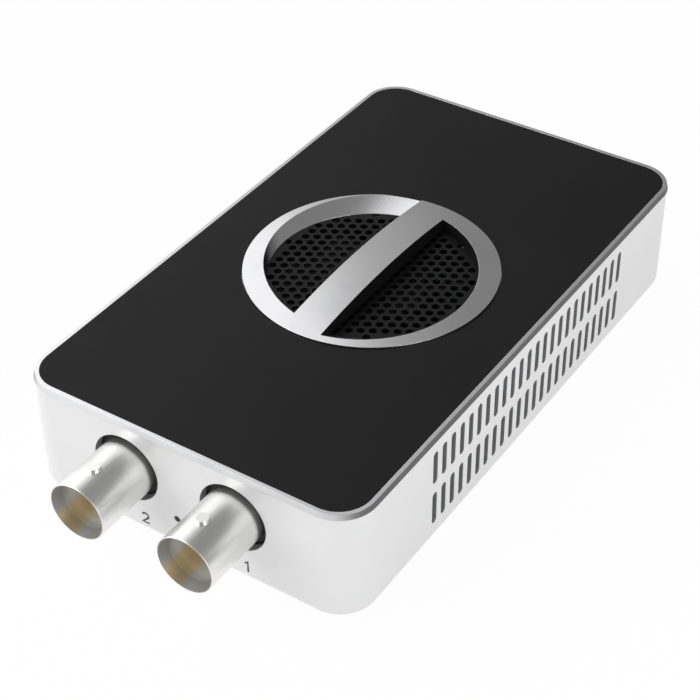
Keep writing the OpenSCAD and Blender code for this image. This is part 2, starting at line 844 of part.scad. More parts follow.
module usb_shell() {
    leg_bottom = z_board - lead_stick;
    color("silver") {
        translate([usb_x, usb_mouth_y, usb_z]) rotate([90, 0, 0]) linear_extrude(usb_d) difference() {
            usb_outline(usb_shell_t);
            usb_outline(0);
        }
        for (s = [-1, 1], y = usb_leg_ys)
            translate([usb_x + (s > 0 ? usb_w / 2 : -usb_w / 2 - usb_shell_t), y - usb_leg_w / 2, leg_bottom])
                cube([usb_shell_t, usb_leg_w, usb_z + over - leg_bottom]);
    }
}

module usb_tongue() {
    back = usb_mouth_y - usb_d;
    tip = usb_mouth_y - usb_tip_setback;
    up_w = usb_up_w - 1.2;
    color("royalblue") {
        translate([usb_x, back + usb_body_l, usb_z]) rotate([90, 0, 0])
            linear_extrude(usb_body_l) usb_outline(-fit);
        translate([usb_x - usb_tongue_w / 2, back + usb_body_l, usb_z + (usb_low_h - usb_tongue_t) / 2])
            cube([usb_tongue_w, tip - back - usb_body_l, usb_tongue_t]);
        translate([usb_x - up_w / 2, back + usb_body_l, z_up_tongue])
            cube([up_w, tip - back - usb_body_l, usb_up_tongue_t]);
    }
}

module usb_contacts() {
    t = 0.15;
    w = 0.9;
    gap = 2.5;
    slim = 0.5;
    slim_gap = 0.95;
    tip_gap = 1;
    start = usb_mouth_y - usb_d + usb_body_l;
    length = usb_mouth_y - usb_tip_setback - start - tip_gap;
    mid = usb_z + usb_low_h / 2;
    color("gold") {
        for (s = [-1, 1], i = [-1, 1])
            translate([usb_x + i * gap / 2 - w / 2, start, mid + s * (usb_tongue_t + t) / 2 - t / 2])
                cube([w, length, t]);
        for (i = [-2 : 2])
            translate([usb_x + i * slim_gap - slim / 2, start, z_up_tongue - t]) cube([slim, length, t]);
    }
}

module sound_jack() {
    color("#222224") difference() {
        union() {
            translate([-jack_w / 2, jack_face_y - jack_d, z_deck]) cube([jack_w, jack_d, jack_h]);
            translate([0, 0, z_jack]) lying_rod(jack_nose_d, jack_face_y - over, jack_nose_y);
        }
        translate([0, 0, z_jack]) lying_rod(jack_bore_d, jack_nose_y - jack_bore_depth, jack_nose_y + over);
    }
}

module jack_contacts() {
    t = 0.3;
    w = 1.6;
    top = jack_h - 0.8;
    color("silver") for (x = [headphone_x, microphone_x], s = [-1, 1], y = [jack_d / 4, 3 * jack_d / 4])
        translate([x + s * (jack_w + t) / 2 - t / 2, jack_face_y - y - w / 2, z_deck]) cube([t, w, top]);
}

// Fan

module fan_gasket() {
    color("#303030") difference() {
        slab(fan_w, fan_w, fan_r, z_fan_top, z_pad);
        rod(2 * opening_r, z_fan_top - over, z_pad + over);
        four(fan_pitch / 2, fan_pitch / 2) rod(fan_screw_d + 4 * ease, z_fan_top - over, z_pad + over);
    }
}

module fan_frame() {
    strut_w = 1.6;
    strut_t = 0.8;
    root = plate_r - over / 2;
    tip = fan_bore_d / 2 + 0.3;
    color("#252527") difference() {
        union() {
            difference() {
                slab(fan_w, fan_w, fan_r, z_fan, z_fan_top);
                rod(fan_bore_d, z_fan - over, z_fan_top + over);
            }
            rod(2 * plate_r, z_fan, z_fan + plate_t);
            rod(tube_d, z_fan, tube_top);
            for (a = [20 : 90 : 290]) rotate([0, 0, a]) translate([root, -strut_w / 2, z_fan])
                cube([tip - root, strut_w, strut_t]);
        }
        four(fan_pitch / 2, fan_pitch / 2) rod(fan_screw_d + 4 * ease, z_fan - over, z_fan_top + over);
        rod(tube_bore_d, shaft_start, tube_top + over);
    }
}

module fan_screws() {
    color("silver") four(fan_pitch / 2, fan_pitch / 2) {
        rod(fan_screw_d, z_fan, z_pad + fan_thread);
        difference() {
            rod(fan_head_d, z_fan - fan_head_h, z_fan);
            translate([0, 0, z_fan - fan_head_h - over])
                cylinder(d = fan_screw_d, h = fan_head_h / 2 + over, $fn = 6);
        }
    }
}

module fan_bearing() {
    color("peru") tube(tube_bore_d - 2 * fit, shaft_d + 2 * running_fit, shaft_start, tube_top);
}

module fan_driver_board() {
    z0 = z_fan + plate_t;
    color("seagreen") tube(2 * plate_r - 1, tube_d + 2 * ease, z0, z0 + driver_t);
}

module fan_stator() {
    color("slategray") translate([0, 0, stator_z]) linear_extrude(stator_h) difference() {
        union() {
            circle(stator_ring_r);
            for (a = [0 : 360 / pole_count : 359])
                rotate(a) translate([0, -pole_w / 2]) square([stator_r - pole_shoe_t / 4, pole_w]);
            difference() {
                circle(stator_r);
                circle(stator_r - pole_shoe_t);
                for (a = [0 : 360 / pole_count : 359])
                    rotate(a + 180 / pole_count) translate([0, -pole_w / 2]) square([hub_r, pole_w]);
            }
        }
        circle(d = tube_d + 2 * fit);
    }
}

module fan_coils() {
    start = stator_ring_r + ease;
    outer_w = pole_w + 2 * ease + 2 * coil_t;
    shoe_r = stator_r - pole_shoe_t;
    length = sqrt(shoe_r * shoe_r - outer_w * outer_w / 4) - ease - start;
    color("sienna") for (a = [0 : 360 / pole_count : 359]) rotate([0, 0, a]) difference() {
        translate([start, -outer_w / 2, stator_z - ease - coil_t])
            cube([length, outer_w, stator_h + 2 * (ease + coil_t)]);
        translate([start - over, -pole_w / 2 - ease, stator_z - ease])
            cube([length + 2 * over, pole_w + 2 * ease, stator_h + 2 * ease]);
    }
}

// Blade seen from above: a strip that sweeps back as it goes out
module blade_plan() {
    steps = 6;
    root = hub_r - cup_t / 2;
    sweep = 16;
    radii = [for (i = [0 : steps]) root + (blade_r - root) * i / steps];
    lead = [for (i = [0 : steps]) let (a = sweep * i / steps) radii[i] * [cos(a), sin(a)]];
    trail = [for (i = [steps : -1 : 0]) let (a = sweep * i / steps + blade_t / radii[i] * 180 / PI)
        radii[i] * [cos(a), sin(a)]];
    polygon(concat(lead, trail));
}

module fan_rotor() {
    color("#2a2a2c") difference() {
        union() {
            difference() {
                rod(hub_d, cup_z, cup_top);
                rod(hub_d - 2 * cup_t, cup_z - over, cup_top - cup_t);
            }
            rod(boss_d, boss_z, cup_top - cup_t / 2);
            for (i = [0 : blade_count - 1]) rotate([0, 0, 360 / blade_count * i]) translate([0, 0, blade_z])
                linear_extrude(blade_h, twist = blade_twist, slices = 6, segments = 14) blade_plan();
        }
        rod(shaft_d + 2 * running_fit, boss_z - over, shaft_end);
    }
}

module fan_magnet() {
    color("#505050") tube(2 * magnet_r, 2 * (magnet_r - magnet_t), cup_z + 0.3, cup_top - cup_t);
}

module fan_shaft() {
    color("silver") rod(shaft_d, shaft_start + fit, shaft_end);
}

module fan_header() {
    color("ivory") translate([header_x - header_w / 2, -header_l / 2, z_deck])
        cube([header_w, header_l, header_h]);
}

// Two wires that rise from the header and bend into the fan's side
module fan_lead() {
    fan_side = -fan_w / 2;
    color("firebrick") for (s = [-1, 1]) translate([0, s * wire_gap / 2, 0]) {
        translate([header_x, 0, 0]) rod(wire_d, z_deck + header_h, z_wire - wire_bend);
        translate([header_x + wire_bend, 0, z_wire - wire_bend]) rotate([90, 0, 0])
            rotate([0, 0, 90]) rotate_extrude(angle = 90) translate([wire_bend, 0]) circle(d = wire_d);
        translate([header_x + wire_bend, 0, z_wire]) rotate([0, 90, 0])
            cylinder(d = wire_d, h = fan_side - header_x - wire_bend);
    }
}

// Moves the housing's own middle to its place in the frame, and stands a socket at its side
module placed() {
    translate([0, centre_y, 0]) children();
}
module at_x(x) {
    placed() translate([x, 0, 0]) children();
}

placed() body_shell();
placed() base_cover();
placed() top_frame();
placed() top_panel();
placed() grille_ring();
placed() grille_mesh();
placed() rubber_feet();
placed() case_screws();
placed() main_board();
placed() board_screws();
placed() video_processor();
placed() thermal_pad();
placed() heat_sink();
placed() heat_sink_pins();
placed() memory_chips();
placed() support_chips();
placed() power_inductors();
placed() filter_capacitors();
placed() status_led();
placed() light_pipe();
at_x(input_x) socket_block();  // input_block
at_x(input_x) socket_barrel();  // input_barrel
at_x(input_x) socket_insulator();  // input_insulator
at_x(input_x) socket_contact();  // input_contact
at_x(loop_x) socket_block();  // loop_block
at_x(loop_x) socket_barrel();  // loop_barrel
at_x(loop_x) socket_insulator();  // loop_insulator
at_x(loop_x) socket_contact();  // loop_contact
placed() usb_shell();
placed() usb_tongue();
placed() usb_contacts();
at_x(headphone_x) sound_jack();  // headphone_jack
at_x(microphone_x) sound_jack();  // microphone_jack
placed() jack_contacts();
placed() fan_gasket();
placed() fan_frame();
placed() fan_screws();
placed() fan_bearing();
placed() fan_driver_board();
placed() fan_stator();
placed() fan_coils();
placed() fan_rotor();
placed() fan_magnet();
placed() fan_shaft();
placed() fan_header();
placed() fan_lead();
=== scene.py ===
"""Looks of the video capture box: finishes, printed numbers, the studio and the photo's camera.

All sizes are in metres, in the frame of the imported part: the front with the coaxial sockets faces -Y,
the long side that the photo shows faces +X, and Z = 0 is the table.
"""

from __future__ import annotations

import logging
import math
from dataclasses import dataclass
from enum import Enum
from typing import Any, Mapping, Tuple, Union

import bmesh
import bpy
from mathutils import Matrix, Vector

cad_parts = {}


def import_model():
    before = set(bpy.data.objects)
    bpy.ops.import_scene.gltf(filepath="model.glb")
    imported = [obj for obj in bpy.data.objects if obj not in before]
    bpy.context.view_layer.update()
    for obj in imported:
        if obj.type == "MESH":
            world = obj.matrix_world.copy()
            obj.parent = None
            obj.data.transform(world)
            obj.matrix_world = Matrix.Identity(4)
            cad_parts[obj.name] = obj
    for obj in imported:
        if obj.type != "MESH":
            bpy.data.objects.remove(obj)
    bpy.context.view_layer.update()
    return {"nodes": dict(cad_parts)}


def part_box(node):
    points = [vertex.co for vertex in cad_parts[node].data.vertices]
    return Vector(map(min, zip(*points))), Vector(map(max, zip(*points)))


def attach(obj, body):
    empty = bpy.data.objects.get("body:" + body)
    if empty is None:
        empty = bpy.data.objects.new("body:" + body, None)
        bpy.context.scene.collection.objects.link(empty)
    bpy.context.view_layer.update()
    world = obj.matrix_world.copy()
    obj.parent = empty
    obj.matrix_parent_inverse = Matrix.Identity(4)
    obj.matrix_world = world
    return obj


LOG = logging.getLogger("capture_box")
MM = 0.001
ORIGIN = (0.0, 0.0, 0.0)
WHITE = (1.0, 1.0, 1.0, 1.0)
CENTRE_Y = 5.575 * MM
INPUT_X = 9.4 * MM
LOOP_X = -10.0 * MM
NUMBER_PLACES = {1: 11.6 * MM, 2: -7.2 * MM}

Colour = Tuple[float, float, float]
Triple = Tuple[float, float, float]
Operand = Union["Signal", float]


class Signal:
    """One output of a shader graph, which Python expressions can use as a number."""

    def __init__(self, graph: "Graph", socket: bpy.types.NodeSocket) -> None:
        """Keeps the socket with the graph that it belongs to."""
        self.graph = graph
        self.socket = socket

    def __add__(self, other: Operand) -> "Signal":
        """Sum."""
        return self.graph.maths("ADD", self, other)

    def __radd__(self, other: Operand) -> "Signal":
        """Sum, with the number first."""
        return self.graph.maths("ADD", other, self)

    def __sub__(self, other: Operand) -> "Signal":
        """Difference."""
        return self.graph.maths("SUBTRACT", self, other)

    def __rsub__(self, other: Operand) -> "Signal":
        """Difference, with the number first."""
        return self.graph.maths("SUBTRACT", other, self)

    def __mul__(self, other: Operand) -> "Signal":
        """Product."""
        return self.graph.maths("MULTIPLY", self, other)

    def __truediv__(self, other: Operand) -> "Signal":
        """Quotient."""
        return self.graph.maths("DIVIDE", self, other)

    def ramp(self, low: float, high: float) -> "Signal":
        """Smooth step.

        Args:
            low: Value that becomes 0.
            high: Value that becomes 1.

        Returns:
            The signal, clamped and eased between the two values.
        """
        return self.graph.add(
            "ShaderNodeMapRange",
            {"interpolation_type": "SMOOTHSTEP"},
            {"Value": self, "From Min": low, "From Max": high},
        )


class Graph:
    """Adds nodes to the tree of one material or world."""

    def __init__(self, tree: bpy.types.NodeTree) -> None:
        """Starts from an empty tree."""
        self.tree = tree
        tree.nodes.clear()

    def add(
        self,
        kind: str,
        settings: Mapping[str, Any],
        sockets: Mapping[Union[str, int], Any],
        output: Union[str, int] = 0,
    ) -> Signal:
        """Adds one node.

        Args:
            kind: The node's type.
            settings: Its properties, set before its sockets.
            sockets: A number, colour, vector or Signal for each input that isn't left as it is.
            output: The output that is wanted.

        Returns:
            The wanted output, or the first input of a node that has no output.
        """
        made = self.tree.nodes.new(kind)
        for name, value in settings.items():
            setattr(made, name, value)
        for key, value in sockets.items():
            if isinstance(value, Signal):
                self.tree.links.new(value.socket, made.inputs[key])
            else:
                made.inputs[key].default_value = value
        return Signal(self, made.outputs[output] if made.outputs else made.inputs[0])

    def maths(self, operation: str, first: Operand, second: Operand) -> Signal:
        """One Math node on two values."""
        return self.add("ShaderNodeMath", {"operation": operation}, {0: first, 1: second})

    def vector(self, operation: str, first: Any, second: Any, output: str = "Vector") -> Signal:
        """One Vector Math node on two vectors."""
        return self.add("ShaderNodeVectorMath", {"operation": operation}, {0: first, 1: second}, output)

    def length(self, arrow: Signal) -> Signal:
        """The length of a vector."""
        return self.vector("LENGTH", arrow, ORIGIN, "Value")

    def dot(self, first: Signal, second: Any) -> Signal:
        """The dot product of two vectors."""
        return self.vector("DOT_PRODUCT", first, second, "Value")

    def absolute(self, arrow: Signal) -> Signal:
        """A vector with the signs of its coordinates taken off."""
        return self.vector("ABSOLUTE", arrow, ORIGIN)

    def mix(self, share: Operand, first: Any, second: Any) -> Signal:
        """Mixes two colours.

        Args:
            share: How much of the second colour shows, from 0 to 1.
            first: A colour, or a Signal that carries one.
            second: A colour, or a Signal that carries one.

        Returns:
            The mixed colour.
        """
        ends = {6: first, 7: second}
        flat = {key: end if isinstance(end, Signal) else (*end, 1.0) for key, end in ends.items()}
        return self.add("ShaderNodeMix", {"data_type": "RGBA"}, {0: share, **flat}, 2)

    def place(self) -> Signal:
        """The point of the surface, in metres."""
        return self.add("ShaderNodeTexCoord", {}, {}, "Object")

    def normal(self) -> Signal:
        """The surface's own normal."""
        return self.add("ShaderNodeNewGeometry", {}, {}, "Normal")

    def axes(self, point: Signal) -> Tuple[Signal, Signal, Signal]:
        """The three coordinates of a point."""
        outputs = ("X", "Y", "Z")
        x, y, z = (self.add("ShaderNodeSeparateXYZ", {}, {0: point}, name) for name in outputs)
        return x, y, z

    def join(self, x: Operand, y: Operand, z: Operand) -> Signal:
        """A point from three coordinates."""
        return self.add("ShaderNodeCombineXYZ", {}, {0: x, 1: y, 2: z})

    def noise(self, point: Signal, size: float, detail: float = 2.0) -> Signal:
        """Soft noise.

        Args:
            point: Where it is read.
            size: Width of one patch, in the unit of the point.
            detail: Layers of finer noise.

        Returns:
            A number round 0.5.
        """
        return self.add("ShaderNodeTexNoise", {}, {"Vector": point, "Scale": 1 / size, "Detail": detail})

    def rounded(self, radius: float) -> Signal:
        """The surface's normal with its sharp edges rounded off."""
        return self.add("ShaderNodeBevel", {"samples": 6}, {"Radius": radius})

    def edges(self, radius: float) -> Signal:
        """1 along sharp edges and 0 on open faces."""
        return (1 - self.dot(self.rounded(radius), self.normal())).ramp(0.004, 0.12)

    def bump(self, height: Signal, depth: float, strength: float, radius: float) -> Signal:
        """A normal with relief.

        Args:
            height: The relief, from 0 to 1.
            depth: What 1 stands for, in metres.
            strength: Share of the relief that shows.
            radius: Rounding of the sharp edges, in metres.

        Returns:
            The normal.
        """
        return self.add(
            "ShaderNodeBump",
            {},
            {"Height": height, "Distance": depth, "Strength": strength, "Normal": self.rounded(radius)},
        )

    def surface(self, **sockets: Any) -> None:
        """Ends a material with one shader.

        Args:
            **sockets: A number or Signal for each of the shader's inputs, under its key in SHADER_SOCKETS.
        """
        named = {SHADER_SOCKETS[key]: value for key, value in sockets.items()}
        shader = self.add("ShaderNodeBsdfPrincipled", {}, named)
        self.add("ShaderNodeOutputMaterial", {}, {"Surface": shader})


SHADER_SOCKETS = {
    "base_color": "Base Color",
    "roughness": "Roughness",
    "metallic": "Metallic",
    "normal": "Normal",
    "specular": "Specular IOR Level",
    "subsurface": "Subsurface Weight",
    "subsurface_scale": "Subsurface Scale",
}


class Grain(Enum):
    """How a metal's surface was worked."""

    BLASTED = "blasted"
    BRUSHED = "brushed"
    TURNED_UPRIGHT = "turned about an upright axis"
    TURNED_LENGTHWISE = "turned about an axis along the box"


@dataclass(frozen=True)
class Finish:
    """What a surface is made of and how it was worked."""

    name: str

    def material(self) -> bpy.types.Material:
        """Makes the finish's material."""
        made = bpy.data.materials.new(self.name)
        made.use_nodes = True
        self.paint(Graph(made.node_tree))
        return made

    def paint(self, graph: Graph) -> None:
        """Adds the finish's nodes to an empty tree."""
        raise NotImplementedError


@dataclass(frozen=True)
class Paint(Finish):
    """Sprayed paint with a fine skin, a little cloudiness, thinner edges and a share of metal flake."""

    colour: Colour
    cloud_colour: Colour
    edge_colour: Colour
    roughness: float = 0.42
    skin: float = 0.35 * MM
    skin_depth: float = 0.006 * MM
    edge: float = 0.12 * MM
    edge_share: float = 0.5
    specular: float = 0.4
    flake: float = 0.0
    cloud_size: float = 26 * MM
    speck_size: float = 1.3 * MM

    def over(self, graph: Graph, place: Signal, colour: Signal) -> Signal:
        """The colour that shows where the paint is `colour`."""
        return colour

    def paint(self, graph: Graph) -> None:
        """Adds the paint's nodes."""
        place = graph.place()
        skin = graph.noise(place, self.skin, 3.0)
        cloud = graph.noise(place, self.cloud_size, 3.0)
        speck = graph.noise(place, self.speck_size)
        cloudy = graph.mix(cloud.ramp(0.35, 0.7), self.colour, self.cloud_colour)
        wear = graph.edges(self.edge) * speck.ramp(0.2, 0.6) * self.edge_share
        graph.surface(
            base_color=self.over(graph, place, graph.mix(wear, cloudy, self.edge_colour)),
            metallic=self.flake,
            roughness=self.roughness + (cloud - 0.5) * 0.12 + (speck - 0.5) * 0.08,
            specular=self.specular,
            normal=graph.bump(skin, self.skin_depth, 0.5, self.edge),
        )


@dataclass(frozen=True)
class WallPaint(Paint):
    """Paint on the four walls, with painted shade on the walls of the slots and holes cut through them."""

    # Grey on the walls of the slots and holes: painted shade, standing in for the shade inside them.
    hole_shade: Colour = (0.44, 0.44, 0.445)
    middle: Triple = (0.0, CENTRE_Y, 0.0)
    half_width: float = 29.85 * MM
    half_length: float = 51.25 * MM
    wall: float = 1.6 * MM
    blur: float = 0.1 * MM

    def over(self, graph: Graph, place: Signal, colour: Signal) -> Signal:
        """The paint's colour with painted shade on the walls of the holes.

        Args:
            graph: The material's graph.
            place: The point of the surface.
            colour: The paint's colour.

        Returns:
            The colour of paint and painted shade.
        """
        x, y, _ = graph.axes(graph.absolute(graph.vector("SUBTRACT", place, self.middle)))
        across, along, _ = graph.axes(graph.absolute(graph.normal()))
        start_x = self.half_width - self.wall
        start_y = self.half_length - self.wall
        # Where the painted shade goes: the walls of the holes through the long sides and through the ends.
        side = x.ramp(start_x - self.blur, start_x) * (1 - across.ramp(0.4, 0.6))
        end = y.ramp(start_y - self.blur, start_y) * (1 - along.ramp(0.4, 0.6))
        return graph.mix(graph.maths("MAXIMUM", side, end), colour, self.hole_shade)


@dataclass(frozen=True)
class Metal(Finish):
    """Bare or plated metal with the marks of its last working."""

    colour: Colour
    stain: Colour
    roughness: float
    grain: Grain
    pitch: float = 0.12 * MM
    depth: float = 0.003 * MM
    centre: Triple = ORIGIN
    edge: float = 0.08 * MM
    streak: float = 0.12
    cloud_size: float = 7 * MM
    relief: float = 0.6
    brush_length: float = 60.0
    upright_turn: float = 1.5
    lengthwise_turn: float = 1.2

    def marks(self, graph: Graph, place: Signal) -> Signal:
        """The working's marks.

        Args:
            graph: The material's graph.
            place: The point of the surface.

        Returns:
            A number round 0.5 that runs along the marks.
        """
        if self.grain is Grain.BLASTED:
            return graph.noise(place, self.pitch, 3.0)
        x, y, z = graph.axes(graph.vector("SUBTRACT", place, self.centre))
        if self.grain is Grain.BRUSHED:
            along = graph.join(x / self.pitch, y / (self.brush_length * self.pitch), z / self.pitch)
        elif self.grain is Grain.TURNED_UPRIGHT:
            radius = graph.length(graph.join(x, y, 0.0))
            turn = graph.maths("ARCTAN2", y, x) * self.upright_turn
            along = graph.join(radius / self.pitch, turn, z / self.pitch)
        else:
            turn = graph.maths("ARCTAN2", z, x) * self.lengthwise_turn
            along = graph.join(y / self.pitch, turn, 0.0)
        return graph.noise(along, 1.0, 3.0)

    def cloud(self, graph: Graph, place: Signal) -> Signal:
        """Soft patches in the metal's colour and polish."""
        return graph.noise(place, self.cloud_size, 3.0)

    def worked(self, graph: Graph, marks: Signal, cloud: Signal) -> Signal:
        """The metal's colour with its marks and stains."""
        share = cloud.ramp(0.45, 0.8) * 0.5 + marks.ramp(0.35, 0.75) * self.streak
        return graph.mix(share, self.colour, self.stain)

    def uneven(self, marks: Signal, cloud: Signal) -> Signal:
        """What the marks and patches add to the roughness."""
        return (marks - 0.5) * self.streak + (cloud - 0.5) * 0.06

    def paint(self, graph: Graph) -> None:
        """Adds the metal's nodes."""
        place = graph.place()
        marks = self.marks(graph, place)
        cloud = self.cloud(graph, place)
        graph.surface(
            base_color=self.worked(graph, marks, cloud),
            metallic=1.0,
            roughness=self.roughness + self.uneven(marks, cloud),
            normal=graph.bump(marks, self.depth, self.relief, self.edge),
        )


@dataclass(frozen=True)
class BoredMetal(Metal):
    """Plated metal round a bore along the box, duller inside, with painted shade in the flare, painted
    light deeper in the bore, a painted brown reflection of the gold contact on one side, and painted light
    near its foot, where it is less metallic.
    """

    # Inside colours: the flare is darkened (painted shade) and the bore deeper in is lightened (painted
    # light), so that the inside shades smoothly; the brown is a painted reflection of the gold contact.
    flare_shade: Colour = (0.37, 0.37, 0.365)
    flare_reflection: Colour = (0.445, 0.347, 0.198)
    bore_light: Colour = (0.93, 0.93, 0.92)
    bore_reflection: Colour = (0.965, 0.785, 0.475)
    reflection_way: Triple = (-0.57, 0.0, -0.82)
    reflection_from: float = 0.8
    bore_radius: float = 4.09 * MM
    mouth_radius: float = 4.70 * MM
    mouth_blur: float = 0.05 * MM
    bore_roughness: float = 0.5
    bore_metal: float = 0.6
    bore_blur: float = 0.12 * MM
    deep_from: float = -55.7 * MM
    deep_to: float = -53.3 * MM
    # Painted light at the foot: a band just in front of the wall is less metallic, which lightens the dark
    # reflection of the hole there.
    foot_y: float = -46.3 * MM
    foot_fade: float = 1.6 * MM
    foot_full: float = 0.4 * MM
    foot_end: float = 0.25 * MM
    foot_metal: float = 0.5

    def paint(self, graph: Graph) -> None:
        """Adds the metal's nodes, parted by the distance from the axis."""
        place = graph.place()
        marks = self.marks(graph, place)
        cloud = self.cloud(graph, place)
        _, along, _ = graph.axes(place)
        x, _, z = graph.axes(graph.vector("SUBTRACT", place, self.centre))
        spoke = graph.join(x, 0.0, z)
        radius = graph.length(spoke)
        outside = radius.ramp(self.mouth_radius, self.mouth_radius + self.mouth_blur)
        # Painted reflection: brown on the side of the bore that faces the given way.
        reflected = (graph.dot(spoke, self.reflection_way) / radius).ramp(self.reflection_from, 1.0)
        flare = graph.mix(reflected, self.flare_shade, self.flare_reflection)
        deep = graph.mix(reflected, self.bore_light, self.bore_reflection)
        # Painted light: the dark flare colour turns into the light bore colour deeper in.
        straight = graph.mix(along.ramp(self.deep_from, self.deep_to), flare, deep)
        bore = graph.mix(radius.ramp(self.bore_radius, self.bore_radius + self.bore_blur), straight, flare)
        # The band of painted light at the foot, where less metal shows.
        foot_start = along.ramp(self.foot_y - self.foot_fade, self.foot_y - self.foot_full)
        foot = foot_start - along.ramp(self.foot_y, self.foot_y + self.foot_end)
        dull = self.bore_roughness - self.roughness
        graph.surface(
            base_color=graph.mix(outside, bore, self.worked(graph, marks, cloud)),
            metallic=self.bore_metal + outside * (1.0 - self.bore_metal - foot * (1.0 - self.foot_metal)),
            roughness=self.bore_roughness - outside * dull + self.uneven(marks, cloud),
            normal=graph.bump(marks, self.depth, self.relief, self.edge),
        )


@dataclass(frozen=True)
class EdgedMetal(Metal):
    """Metal whose upright edge is duller than its flat lip, with painted shade on that edge along the two
    long sides.
    """

    end_colour: Colour = (0.78, 0.78, 0.79)
    # Dark grey on the upright edge of the long sides: painted shade, standing in for a dark reflection
    # there.
    side_shade_colour: Colour = (0.165, 0.165, 0.17)
    edge_roughness: float = 0.5

    def paint(self, graph: Graph) -> None:
        """Adds the metal's nodes, parted by the slope of the surface."""
        place = graph.place()
        marks = self.marks(graph, place)
        cloud = self.cloud(graph, place)
        across, _, upright = graph.axes(graph.normal())
        flat = upright.ramp(0.45, 0.85)
        # The long sides, where the painted shade goes.
        side = graph.maths("ABSOLUTE", across, 0.0).ramp(0.35, 0.9)
        lip = graph.mix(marks.ramp(0.35, 0.75) * self.streak, self.colour, self.stain)
        end = graph.mix(cloud.ramp(0.4, 0.8) * 0.4, self.end_colour, self.stain)
        wall = graph.mix(side, end, self.side_shade_colour)
        dull = self.edge_roughness - self.roughness
        graph.surface(
            base_color=graph.mix(flat, wall, lip),
            metallic=1.0,
            roughness=self.edge_roughness - flat * dull + (marks - 0.5) * self.streak,
            normal=graph.bump(marks, self.depth, self.relief, self.edge),
        )


@dataclass(frozen=True)
class OpenedMetal(Metal):
    """Metal with openings whose steep walls are coloured nearly black: painted shade inside the openings.
    """

    # Near-black on the steep walls of the openings: painted shade.
    black: Colour = (0.006, 0.006, 0.006)
    reach: float = 19.5 * MM
    blur: float = 0.1 * MM
    dulled: float = 0.3

    def paint(self, graph: Graph) -> None:
        """Adds the metal's nodes, parted by the slope of the surface inside the outer edge."""
        place = graph.place()
        marks = self.marks(graph, place)
        cloud = self.cloud(graph, place)
        x, y, _ = graph.axes(graph.vector("SUBTRACT", place, self.centre))
        radius = graph.length(graph.join(x, y, 0.0))
        _, _, upright = graph.axes(graph.normal())
        inside = 1 - radius.ramp(self.reach, self.reach + self.blur)
        # Painted shade on the steep walls inside the outer edge.
        painted = inside * (1 - upright.ramp(0.3, 0.62))
        graph.surface(
            base_color=graph.mix(painted, self.worked(graph, marks, cloud), self.black),
            metallic=1 - painted,
            roughness=self.roughness + painted * self.dulled + self.uneven(marks, cloud),
            specular=0.2,
            normal=graph.bump(marks, self.depth, self.relief, self.edge),
        )


@dataclass(frozen=True)
class Moulded(Finish):
    """Moulded plastic with a spark-eroded skin."""

    colour: Colour
    worn: Colour
    roughness: float = 0.5
    skin: float = 0.25 * MM
    skin_depth: float = 0.012 * MM
    edge: float = 0.1 * MM
    specular: float = 0.4
    subsurface: float = 0.0
    subsurface_scale: float = 0.4 * MM
    cloud_size: float = 5 * MM

    def paint(self, graph: Graph) -> None:
        """Adds the plastic's nodes."""
        place = graph.place()
        skin = graph.noise(place, self.skin, 3.0)
        cloud = graph.noise(place, self.cloud_size, 3.0)
        wear = cloud.ramp(0.35, 0.75) * 0.5 + graph.edges(self.edge) * 0.4
        graph.surface(
            base_color=graph.mix(wear, self.colour, self.worn),
            roughness=self.roughness + (skin - 0.5) * 0.14 + (cloud - 0.5) * 0.1,
            specular=self.specular,
            subsurface=self.subsurface,
            subsurface_scale=self.subsurface_scale,
            normal=graph.bump(skin, self.skin_depth, 0.5, self.edge),
        )


@dataclass(frozen=True)
class Rubber(Finish):
    """Matte rubber or foam with an open skin and a film of dust."""

    colour: Colour
    dust: Colour
    cell: float = 0.3 * MM
    depth: float = 0.05 * MM
    film_size: float = 2.4 * MM
    edge: float = 0.15 * MM

    def paint(self, graph: Graph) -> None:
        """Adds the rubber's nodes."""
        place = graph.place()
        cell = graph.add(
            "ShaderNodeTexVoronoi",
            {"feature": "F1"},
            {"Vector": place, "Scale": 1 / self.cell},
        )
        film = graph.noise(place, self.film_size, 4.0)
        graph.surface(
            base_color=graph.mix(film.ramp(0.45, 0.8) * 0.6, self.colour, self.dust),
            roughness=0.82 + (film - 0.5) * 0.2,
            specular=0.25,
            normal=graph.bump(cell, self.depth, 0.4, self.edge),
        )


@dataclass(frozen=True)
class CircuitBoard(Finish):
    """Solder mask over copper tracks, with bare gold pads."""

    mask: Colour = (0.006, 0.075, 0.030)
    track: Colour = (0.012, 0.13, 0.05)
    pad: Colour = (0.78, 0.58, 0.24)
    track_pitch: float = 1.6 * MM
    pad_pitch: float = 2.54 * MM
    copper: float = 0.02 * MM
    edge: float = 0.05 * MM

    def paint(self, graph: Graph) -> None:
        """Adds the board's nodes."""
        x, y, _ = graph.axes(graph.place())
        flat = graph.join(x, y, 0.0)
        cells = graph.add(
            "ShaderNodeTexVoronoi",
            {"feature": "DISTANCE_TO_EDGE"},
            {"Vector": flat, "Scale": 1 / self.track_pitch, "Randomness": 0.75},
        )
        dots = graph.add(
            "ShaderNodeTexVoronoi",
            {"feature": "F1"},
            {"Vector": flat, "Scale": 1 / self.pad_pitch, "Randomness": 0.6},
        )
        track = 1 - cells.ramp(0.06, 0.11)
        pad = 1 - dots.ramp(0.11, 0.13)
        graph.surface(
            base_color=graph.mix(pad, graph.mix(track, self.mask, self.track), self.pad),
            metallic=pad,
            roughness=0.34 - pad * 0.08,
            specular=0.5,
            normal=graph.bump(track + pad, self.copper, 0.5, self.edge),
        )


